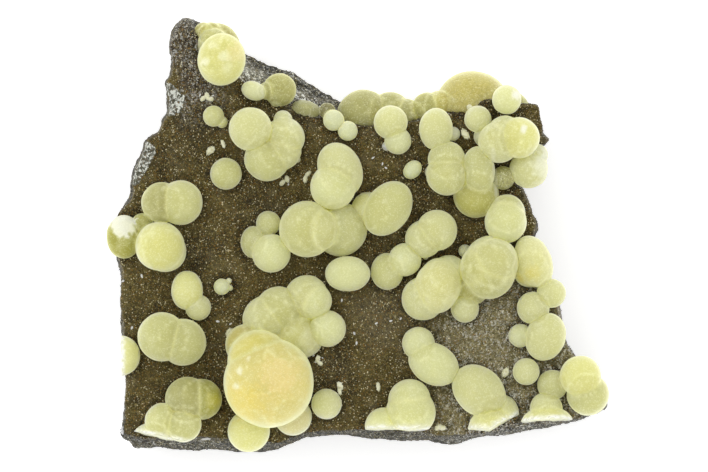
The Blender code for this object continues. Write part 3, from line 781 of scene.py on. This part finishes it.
def normals_of(mesh):
    directions = np.empty(len(mesh.vertices) * 3, np.float32)
    mesh.vertex_normals.foreach_get("vector", directions)
    return directions.reshape(-1, 3).astype(float)


def put_points(mesh, places):
    mesh.vertices.foreach_set("co", places.astype(np.float32).ravel())
    mesh.update()


def keep_in_box(mesh):
    """Moves points that lie outside the box of the solids back to it."""
    low, high = (np.array(corner) for corner in cad_box)
    put_points(mesh, np.clip(points_of(mesh), low, high))


def set_material(mesh, material):
    mesh.materials.clear()
    mesh.materials.append(material)


def paint(mesh, name, values):
    """Keeps a number or a colour for each point of a mesh."""
    values = np.asarray(values, np.float32)
    if values.ndim == 1:
        mesh.attributes.new(name, "FLOAT", "POINT").data.foreach_set("value", values)
    else:
        values = np.hstack([values[:, :3], np.ones((len(values), 1), np.float32)])
        mesh.attributes.new(name, "FLOAT_COLOR", "POINT").data.foreach_set("color", values.ravel())


def moved(colours, other, share):
    """Colours moved towards others by a share for each point. Either may be one tint for all."""
    colours, other = (c if isinstance(c, np.ndarray) else light_of(c) for c in (colours, other))
    return colours + (other - colours) * share[:, None]


def wander(places, size, seed=0.0):
    """Soft noise between -1 and 1 at each place, both in millimetres."""
    return np.array([noise.noise(Vector(p) / size + Vector((seed, 0.0, 0.0))) for p in places])


def roughness(places, waves):
    """How high the waves stand at each place, in millimetres."""
    total = 0
    for height, size, seed, folded in waves:
        wave = wander(places, size, seed)
        total = total + height * (np.abs(wave) if folded else wave)
    return total


def ramp(values, low, high):
    """0 at the low value, 1 at the high one and a smooth way between."""
    share = np.clip((values - low) / (high - low), 0.0, 1.0)
    return share * share * (3 - 2 * share)


def away_from(places, across, up):
    """How far each place is from a point of the face, seen from above."""
    return np.linalg.norm(places[:, :2] - SHIFT[:2] - (across, up), axis=1)


def ball_parts(ball):
    """Centre, radius and how far the ball is drawn out, in the frame of the part."""
    across, up, radius, height, *pull = ball
    centre = np.array((across, up, FACE_LEVEL + height)) + SHIFT
    return centre, radius, np.array(pull or (0.0, 0.0))


def depth_in_ball(places, ball):
    """How far each place lies inside a ball: below zero outside it."""
    centre, radius, pull = ball_parts(ball)
    away = places - centre
    reach = np.linalg.norm(pull)
    if reach > 0:
        along = away[:, :2] @ (pull / reach)
        stretch = 1 + reach / (2 * radius)
        away[:, :2] += np.outer(along * (1 / stretch - 1), pull / reach)
    return radius - np.linalg.norm(away, axis=1)


def depth_in_polygon(places, corners):
    """How far each place lies inside a closed line on the face: below zero outside it."""
    corners = np.array(corners) + SHIFT[:2]
    inside = np.zeros(len(places), bool)
    nearest = np.full(len(places), np.inf)
    for start, end in zip(corners, np.roll(corners, -1, axis=0)):
        step = end - start
        away = places[:, :2] - start
        share = np.clip(away @ step / (step @ step), 0, 1)
        nearest = np.minimum(nearest, np.linalg.norm(away - np.outer(share, step), axis=1))
        if step[1] == 0:
            continue
        cross = start[0] + (places[:, 1] - start[1]) * step[0] / step[1]
        low, high = sorted((start[1], end[1]))
        inside ^= (places[:, 1] > low) & (places[:, 1] <= high) & (places[:, 0] < cross)
    return np.where(inside, nearest, -nearest)


def face_share(places, ways, limits):
    """1 on the rock's face and 0 on its sides, between limits of slope and level."""
    slope, level = limits
    return ramp(ways[:, 2], *slope) * ramp(places[:, 2], *level)


def rock_skin(node, material):
    """The slab with its broken sides and its rough face, from the plain solid."""
    shape = bmesh.new()
    shape.from_mesh(node.data)
    bmesh.ops.remove_doubles(shape, verts=shape.verts, dist=1e-7)
    rock = object_from("rock_skin", shape, 1.0)
    remesh = rock.modifiers.new("remesh", "REMESH")
    remesh.mode = "VOXEL"
    remesh.voxel_size = ROCK_POINTS * MM
    soften = rock.modifiers.new("soften", "SMOOTH")
    soften.factor = SMOOTHING
    soften.iterations = SMOOTHING_ROUNDS
    plain_mesh(rock)
    mesh = rock.data
    low, high = (np.array(corner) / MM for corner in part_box(node.name))
    places, ways = points_of(mesh) / MM, normals_of(mesh)
    facing = face_share(places, ways, ROUGH_FACE)
    side = (1 - facing) * ramp(places[:, 2], *ROUGH_LEVEL)
    rise = facing * roughness(places, FACE_WAVES) + side * (roughness(places, SIDE_WAVES) - SIDE_SINK)
    put_points(mesh, np.clip(places + ways * rise[:, None], low, high) * MM)
    paint_rock(mesh)
    set_material(mesh, material)
    mesh.shade_smooth()
    return rock


def rock_zones(places, ways):
    """How far each point of the slab belongs to each of its zones, from 0 to 1."""
    across, up, level = places.T
    facing = face_share(places, ways, BROWN_FACE)
    peak = (1 - ramp(across, *PEAK_RIGHT)) * ramp(up, *PEAK_BOTTOM)
    peak = peak * np.maximum(ramp(up, *PEAK_TIP), ramp(across, *PEAK_RIM))
    bevel = (1 - facing) * ramp(level, *BEVEL_LEVEL) * ramp(up, *BEVEL_BOTTOM)
    bevel = bevel * ramp(across, *BEVEL_LEFT)
    sill = (1 - facing) * ramp(up, *SILL_TOP)
    return SimpleNamespace(
        facing=facing,
        corner=ramp(across, *CORNER_LEFT) * (1 - ramp(up, *CORNER_TOP)),
        peak=peak,
        bevel=bevel,
        sill=sill,
        # foot and edge mark where painted shade goes: low on the sides and on their steep slopes
        foot=1 - ramp(level, *FOOT_LEVEL),
        lip=ramp(level, *LIP_LEVEL) * (1 - np.maximum(bevel, sill)),
        edge=1 - ramp(ways[:, 2], *EDGE_SLOPE),
    )


def face_colours(places, zones, drift, patch):
    """Brown in darker and lighter patches, paler at the lower right and greyer at the peak."""
    face = moved(FACE_BROWN, FACE_DARK, ramp(drift, 0, 0.5))
    face = moved(face, FACE_LIGHT, ramp(patch, 0.05, 0.5) * 0.6)
    for across, up, reach, tint, strength in GROUND_PATCHES:
        away = away_from(places, across, up) + 0.3 * reach * patch
        face = moved(face, tint, strength * (1 - ramp(away, 0.3 * reach, reach)))
    face = moved(face, CORNER_TINT, zones.corner * 0.9)
    return moved(face, PEAK_TINT, zones.peak * 0.9)


def side_colours(face, zones, drift, patch):
    """Grey, darker with painted shade at the foot, pale on the bevel, and under the face's edge in its
    colours. Painted shade darkens the steep edges of the bevel and of the break below.
    """
    side = moved(SIDE_GREY, SIDE_DARK, ramp(patch, -0.2, 0.4))
    side = moved(side, SIDE_RUST, ramp(drift, 0.1, 0.5) * 0.4)
    # Painted shade at the foot of the side
    side = moved(side, FOOT_SHADE, zones.foot * 0.75)
    side = moved(side, BEVEL_TINT, zones.bevel)
    side = moved(side, SILL_TINT, zones.sill * 0.6)
    side = moved(side, face, zones.lip)
    # Painted shade on the steep edges of the bevel and of the break below
    return moved(side, EDGE_SHADE, zones.edge * np.maximum(zones.bevel, zones.sill) * 0.9)


def fresh_share(places, zones):
    """How grey the rock is: on its sides and most on the bevel, less at the peak and corner."""
    broken = np.maximum(0.3 * (1 - zones.facing) * (1 - zones.lip), 0.9 * zones.bevel)
    worn = np.maximum(zones.peak * 0.26, zones.corner * 0.35) * ramp(places[:, 2], *GREY_LEVEL)
    # Steep edges lose their grey, so that the painted shade on them stays dark
    return np.maximum(broken * (1 - 0.8 * zones.edge), worn)


def paint_rock(mesh):
    """Paints the colours of the slab on its points, with painted shade around the balls and at the
    foot and steep edges of the sides, and where it is grey, chipped or bare.
    """
    places, ways = points_of(mesh) / MM, normals_of(mesh)
    zones = rock_zones(places, ways)
    drift = wander(places, 9.0, 3.0)
    patch = wander(places, 3.2, 5.0)
    ground = face_colours(places, zones, drift, patch)
    ground = moved(ground, side_colours(ground, zones, drift, patch), 1 - zones.facing)
    in_patch = functools.reduce(
        np.maximum, (depth_in_polygon(places, corners) for corners in FRESH_BREAKS)
    )
    in_ball = functools.reduce(
        np.maximum, (depth_in_ball(places, ball) for balls in BALLS.values() for ball in balls)
    )
    nook_shade = ramp(in_ball, *NOOK_SHADE_DEPTH)
    level = places[:, 2] + roughness(places, CHIP_WAVES)
    bare = np.where(in_ball < HIDDEN_DEPTH, SIDE_GROWTH + (1 - SIDE_GROWTH) * zones.facing, 0.0)
    paint(mesh, "chip", np.clip(0.5 + 0.5 * in_patch, 0, 1) * ramp(level, *CHIP_LEVEL))
    paint(mesh, "fresh", fresh_share(places, zones))
    # Painted shade: the ground darkens around the foot of each ball, a little more in the pale corner
    paint(mesh, "ground", moved(ground, NOOK_SHADE, nook_shade * (0.82 + 0.1 * zones.corner)))
    paint(mesh, "druse", np.maximum(zones.facing, zones.lip))
    paint(mesh, "open", bare * ramp(places[:, 2], *GROWTH_LEVEL))


def fineness_of(radius):
    """How often the mesh of a ball of this radius is divided."""
    if radius <= SMALL_BALL:
        return LOW_FINENESS
    return LARGE_FINENESS if radius > LARGE_BALL else BALL_FINENESS


def ball_mesh(ball):
    """One ball, a little uneven, as fine as its size needs."""
    centre, radius, pull = ball_parts(ball)
    shape = bmesh.new()
    bmesh.ops.create_icosphere(shape, subdivisions=fineness_of(radius), radius=radius)
    reach = np.linalg.norm(pull)
    if reach > 0:
        longer = Matrix.Scale(1 + reach / (2 * radius), 3, Vector((*(pull / reach), 0.0)))
        bmesh.ops.transform(shape, matrix=longer.to_4x4(), verts=shape.verts)
    for vertex in shape.verts:
        way = vertex.co.normalized()
        uneven = sum(
            noise.noise(way * closeness + Vector(centre)) * UNEVEN_BALL * strength
            for closeness, strength in UNEVEN_WAVES
        )
        vertex.co += way * radius * uneven + Vector(centre)
    return object_from("ball", shape)


def broken_side(start_x, start_y, end_x, end_y, lean):
    """A block whose rough inner side follows a break. It takes what lies to the left."""
    along = Vector((end_x - start_x, end_y - start_y, 0.0))
    length = along.length
    along.normalize()
    outwards = Vector((-along.y, along.x, lean)).normalized()
    up = along.cross(outwards).normalized() * -1
    middle = Vector(((start_x + end_x) / 2, (start_y + end_y) / 2, FACE_LEVEL)) + Vector(SHIFT)
    shape = bmesh.new()
    bmesh.ops.create_grid(shape, x_segments=BREAK_CELLS, y_segments=BREAK_CELLS, size=0.5)
    for vertex in shape.verts:
        across, rise = vertex.co.x * (length + BREAK_MARGIN), vertex.co.y * BREAK_HEIGHT
        place = middle + along * across + up * rise
        wave = 0.5 * noise.noise(place / 1.8)
        stepped = math.floor(wave * BREAK_STEPS) / BREAK_STEPS
        rough = 0.2 * (stepped + wave) + 0.06 * noise.noise(place / 0.4)
        vertex.co = place + outwards * rough
    far = bmesh.ops.extrude_face_region(shape, geom=shape.faces[:])
    far_points = [item for item in far["geom"] if isinstance(item, bmesh.types.BMVert)]
    bmesh.ops.translate(shape, vec=outwards * BREAK_THICKNESS, verts=far_points)
    bmesh.ops.recalc_face_normals(shape, faces=shape.faces)
    return object_from("break", shape)


def broken_share(name, places):
    """1 on the freshly broken side of a group."""
    share = np.zeros(len(places))
    for start_x, start_y, end_x, end_y, lean in BREAKS.get(name, []):
        along = np.array((end_x - start_x, end_y - start_y, 0.0))
        along /= np.linalg.norm(along)
        outwards = np.array((-along[1], along[0], lean))
        outwards /= np.linalg.norm(outwards)
        start = np.array((start_x, start_y, FACE_LEVEL)) + SHIFT
        share = np.maximum(share, ramp((places - start) @ outwards, *BROKEN_DEPTH))
    return share


def seam_light_share(depths):
    """1 where two balls meet, where the seam gets its painted light."""
    first, second = -np.sort(-depths, axis=0)[:2]
    return 1 - ramp(first - second, 0.0, SEAM_WIDTH)


def flank_light_share(upright, colours, shine):
    """How much painted light pales a ball's flanks: less on a dark ball, and where it sparkles."""
    flank = sum(share * (1 - ramp(upright, low, high)) for low, high, share in FLANK_SLOPES)
    light = np.clip((colours[:, 1] - DULLEST) / LIGHT_RANGE, 0.15, 0.9)
    return flank * light * (1 - 0.8 * shine)


def with_echoes(colours, balls, places, nearest):
    """Adds the faint tint of balls that are seen through their neighbours, and their outline in
    painted light.
    """
    for index, ball in enumerate(balls):
        centre, radius, _ = ball_parts(ball)
        if radius < SMALLEST_ECHO:
            continue
        near = radius - np.linalg.norm(places[:, :2] - centre[:2], axis=1)
        other = (nearest != index) * 1.0
        line = (1 - ramp(np.abs(near), 0.03, 0.22)) * other
        colours = moved(colours, ECHO, ramp(near, -0.1, 0.3) * other * 0.16)
        # The outline is painted light: a pale rim where one ball lies over another
        colours = moved(colours, PAINTED_RIM_LIGHT, line * 0.3)
    return colours


def with_stains_and_highlights(name, colours, places):
    """Adds the stains and painted highlights of a group, with ragged edges."""
    for across, up, reach, tint, strength, fade in STAINS_AND_HIGHLIGHTS.get(name, []):
        away = away_from(places, across, up) + 0.45 * reach * wander(places, 0.7, 17.0)
        colours = moved(colours, tint, strength * (1 - ramp(away, fade * reach, reach)))
    return colours


def paint_calcite(name, balls, mesh):
    """Paints each ball's tint on its points, with painted light on its flanks, seams and highlights,
    and where it sparkles or is broken.
    """
    places = points_of(mesh) / MM
    depths = np.array([depth_in_ball(places, ball) for ball in balls])
    nearest = depths.argmax(0)
    shades = SHADES.get(name, {})
    colours = np.array([light_of(shades.get(n, CALCITE)) for n in range(len(balls))])[nearest]
    shine = [SPARKLING_BALLS.get((name, n), SPARKLING.get(name, 0.0)) for n in range(len(balls))]
    shine = np.array(shine)[nearest]
    if len(balls) > 1:
        # Painted light along the seams where balls meet
        colours = moved(colours, SEAM_LIGHT, seam_light_share(depths) * 0.6)
    upright = normals_of(mesh)[:, 2]
    # Painted light on the flanks, as a bright rim
    colours = moved(colours, PAINTED_RIM_LIGHT, flank_light_share(upright, colours, shine))
    for vein in VEINS.get(name, []):
        away = -depth_in_polygon(places, vein)
        colours = moved(colours, WHITE, 0.7 * (1 - ramp(away, 0, VEIN_WIDTH)))
    colours = with_echoes(colours, balls, places, nearest)
    paint(mesh, "tint", with_stains_and_highlights(name, colours, places))
    paint(mesh, "sparkle", shine)
    paint(mesh, "broken", broken_share(name, places))


def calcite_group(name, balls, material):
    """The balls of a group joined into one skin, broken off where the rock was broken."""
    skin = ball_mesh(balls[0])
    skin.name = name + "_calcite"
    for ball in balls[1:]:
        combine(skin, ball_mesh(ball), "UNION")
    for place in BREAKS.get(name, []):
        combine(skin, broken_side(*place), "DIFFERENCE")
    keep_in_box(skin.data)
    paint_calcite(name, balls, skin.data)
    set_material(skin.data, material)
    skin.data.shade_smooth()
    return skin


def crystal_mesh(ground, across, up, width, length, turn):
    """A slanted block of calcite with worn edges, set into the rock."""
    shape = bmesh.new()
    bmesh.ops.create_cube(shape, size=1.0)
    bmesh.ops.bevel(shape, geom=shape.edges[:], offset=CRYSTAL_WEAR, segments=2, affect="EDGES")
    for vertex in shape.verts:
        wave = noise.noise(vertex.co * 1.7 + Vector((across, up, turn)))
        vertex.co *= 1 + CRYSTAL_UNEVEN * wave
    slant = Matrix(((1, CRYSTAL_SLANT, 0), (0, 1, 0), (0, CRYSTAL_RISE, 1)))
    bmesh.ops.transform(shape, matrix=slant.to_4x4(), verts=shape.verts)
    bmesh.ops.scale(shape, vec=(length, width, width), verts=shape.verts)
    bmesh.ops.rotate(shape, matrix=Matrix.Rotation(CRYSTAL_TILT, 3, "Y"), verts=shape.verts)
    bmesh.ops.rotate(shape, matrix=Matrix.Rotation(math.radians(turn), 3, "Z"), verts=shape.verts)
    place = Vector((across, up, 0.0)) + Vector(SHIFT)
    place.z = ground(place) + width * (0.5 - CRYSTAL_SINK)
    bmesh.ops.translate(shape, vec=place, verts=shape.verts)
    return object_from("crystal", shape)


def joined_crystals(name, crystals, ground):
    """Crystals that have grown together, or all the flecks, as one piece."""
    skin = crystal_mesh(ground, *crystals[0])
    skin.name = name
    for crystal in crystals[1:]:
        combine(skin, crystal_mesh(ground, *crystal), "UNION")
    return skin


def ground_under(rock):
    """A function that gives the height of the rock's face in millimetres at a place."""
    tree = BVHTree.FromObject(rock, bpy.context.evaluated_depsgraph_get())

    def height(place):
        hit = tree.ray_cast(Vector((place.x, place.y, 2 * FACE_LEVEL)) * MM, Vector((0, 0, -1)))
        return hit[0].z / MM if hit[0] else FACE_LEVEL

    return height


def scatter_tree():
    """Geometry nodes that grow small crystals on a surface, thickest where it is bare."""
    tree = bpy.data.node_groups.new("grown_crystals", "GeometryNodeTree")
    sockets = {}
    for name, kind in SCATTER_INPUTS:
        made = tree.interface.new_socket(name, in_out="INPUT", socket_type=kind)
        sockets[name] = made.identifier
    tree.interface.new_socket("Crystals", in_out="OUTPUT", socket_type="NodeSocketGeometry")
    start = Signal(tree)
    given = tree.nodes.new("NodeGroupInput")

    def asked(name):
        return Signal(tree, socket_named(given.outputs, sockets[name]))

    bare = start.node("GeometryNodeInputNamedAttribute", {"data_type": "FLOAT"}, {"Name": "open"})
    spread = start.node(
        "GeometryNodeDistributePointsOnFaces", {"distribute_method": "POISSON"},
        {"Mesh": asked("Surface"), "Distance Min": asked("Spacing"), "Density Max": asked("Density"),
         "Density Factor": bare, "Seed": asked("Seed")},
    )
    turn = start.node(
        "FunctionNodeRandomValue", {"data_type": "FLOAT_VECTOR"},
        {"Max": (math.tau, math.tau, math.tau), "Seed": asked("Seed")},
    )
    size = start.node(
        "FunctionNodeRandomValue", {"data_type": "FLOAT"},
        {"Min_001": asked("Least Size"), "Max_001": asked("Most Size"), "Seed": asked("Seed")},
        "Value_001",
    )
    shape = start.node("GeometryNodeObjectInfo", None, {"Object": asked("Crystal")}, "Geometry")
    grown = start.node(
        "GeometryNodeInstanceOnPoints", None,
        {"Points": spread, "Instance": shape, "Rotation": turn, "Scale": size},
    )
    chance = start.node(
        "FunctionNodeRandomValue", {"data_type": "FLOAT"}, {"Seed": CHANCE_SEED}, "Value_001"
    )
    marked = start.node(
        "GeometryNodeStoreNamedAttribute", {"data_type": "FLOAT", "domain": "INSTANCE"},
        {"Geometry": grown, "Name": "chance", "Value": chance},
    )
    real = start.node("GeometryNodeRealizeInstances", None, {"Geometry": marked})
    finish = start.node(
        "GeometryNodeSetMaterial", None, {"Geometry": real, "Material": asked("Material")}
    )
    end = tree.nodes.new("NodeGroupOutput")
    tree.links.new(finish.socket, end.inputs[0])
    return tree, sockets


def druse_crystal():
    """The small rhomb that the druse repeats: a cube drawn out along one of its diagonals."""
    shape = bmesh.new()
    bmesh.ops.create_cube(shape, size=1.0)
    pull = DRUSE_SLANT
    slant = Matrix(((1, pull, pull), (pull, 1, pull), (pull, pull, 1)))
    bmesh.ops.transform(shape, matrix=slant.to_4x4(), verts=shape.verts)
    bmesh.ops.triangulate(shape, faces=shape.faces)
    return object_from("druse_crystal", shape, 1.0)


def grown_crystals(name, rock, tree, sockets, given):
    """Small crystals grown on the rock, as one plain mesh."""
    grown = bpy.data.objects.new(name, rock.data)
    bpy.context.scene.collection.objects.link(grown)
    modifier = grown.modifiers.new("grow", "NODES")
    modifier.node_group = tree
    for socket, value in given.items():
        modifier[sockets[socket]] = value
    plain_mesh(grown)
    keep_in_box(grown.data)
    return grown


def make_camera():
    """Looks straight down on the face, from far off, with the width of the picture at the face."""
    data = bpy.data.cameras.new("camera")
    camera = bpy.data.objects.new("camera", data)
    bpy.context.scene.collection.objects.link(camera)
    data.sensor_width = SENSOR_WIDTH
    data.lens = data.sensor_width * CAMERA_DISTANCE / (PICTURE_WIDTH * MM)
    camera.location = (VIEW_CENTRE[0] * MM, VIEW_CENTRE[1] * MM, CAMERA_DISTANCE + FACE_LEVEL * MM)
    bpy.context.scene.camera = camera


def make_window():
    """A weak round light to the upper left, turned to the middle of the part."""
    data = bpy.data.lights.new("window", "AREA")
    data.shape = "DISK"
    data.size = WINDOW_SIZE
    data.energy = WINDOW_POWER
    lamp = bpy.data.objects.new("window", data)
    bpy.context.scene.collection.objects.link(lamp)
    lamp.location = WINDOW_PLACE
    lamp.rotation_euler = (-Vector(WINDOW_PLACE)).to_track_quat("-Z", "Y").to_euler()


def make_stage():
    """Even white daylight, the window and a pale floor."""
    world = bpy.data.worlds.new("daylight")
    world.use_nodes = True
    backdrop = world.node_tree.nodes["Background"]
    backdrop.inputs["Color"].default_value = (1.0, 1.0, 1.0, 1.0)
    backdrop.inputs["Strength"].default_value = DAYLIGHT
    bpy.context.scene.world = world
    bpy.context.scene.view_settings.view_transform = "Standard"
    make_window()
    shape = bmesh.new()
    bmesh.ops.create_grid(shape, x_segments=1, y_segments=1, size=FLOOR_REACH)
    floor = object_from("floor", shape, 1.0)
    floor.data.materials.append(new_material("pale_floor", {}, floor_look))


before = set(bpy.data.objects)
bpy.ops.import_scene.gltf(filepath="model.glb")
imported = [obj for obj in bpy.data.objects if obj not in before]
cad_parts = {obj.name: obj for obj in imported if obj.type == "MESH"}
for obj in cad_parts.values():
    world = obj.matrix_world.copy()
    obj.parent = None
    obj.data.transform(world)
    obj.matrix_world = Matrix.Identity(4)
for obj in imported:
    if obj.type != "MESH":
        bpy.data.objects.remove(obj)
cad_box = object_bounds()

# The tables against the frame of the part, found from the rock's own corner
rock_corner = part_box("matrix_rock")[1] / MM
SHIFT = np.array((rock_corner.x - FURTHEST_RIGHT, rock_corner.y - FURTHEST_UP, 0.0))
make_camera()
make_stage()

rock_finish = new_material("druse_rock", {"IOR": 1.5, "Specular IOR Level": 0.2}, rock_look)
rock = rock_skin(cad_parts["matrix_rock"], rock_finish)
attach(rock, "root")
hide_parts("matrix_rock")

calcite = calcite_material("calcite", BALL_DEPTH)
bead_calcite = calcite_material("bead_calcite", BEAD_DEPTH)
for name, balls in BALLS.items():
    largest = max(ball[2] for ball in balls)
    skin = calcite_group(name, balls, calcite if largest > LARGEST_BEAD else bead_calcite)
    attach(skin, "root")
    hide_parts(name)

white = white_material()
ground = ground_under(rock)
for name, crystals in CRYSTALS.items():
    skin = joined_crystals(name + "_white", crystals, ground)
    set_material(skin.data, white)
    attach(skin, "root")
    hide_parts(name)

crystal = druse_crystal()
tree, sockets = scatter_tree()
glitter = new_material("druse_crystals", {"IOR": 1.6, "Specular IOR Level": 0.3}, grain_look)
for name, spacing, density, least, most, seed in DRUSE:
    given = {
        "Crystal": crystal, "Spacing": spacing * MM, "Density": density / MM**2, "Seed": seed,
        "Least Size": least * MM, "Most Size": most * MM, "Material": glitter,
    }
    grains = grown_crystals(name, rock, tree, sockets, given)
    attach(grains, "root")
bpy.data.objects.remove(crystal, do_unlink=True)

# Joining leaves an empty first slot, and the flecks' faces use it, so they don't show this finish
flecks = joined_crystals("white_flecks", FLECKS, ground)
flecks.data.materials.append(white)
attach(flecks, "root")
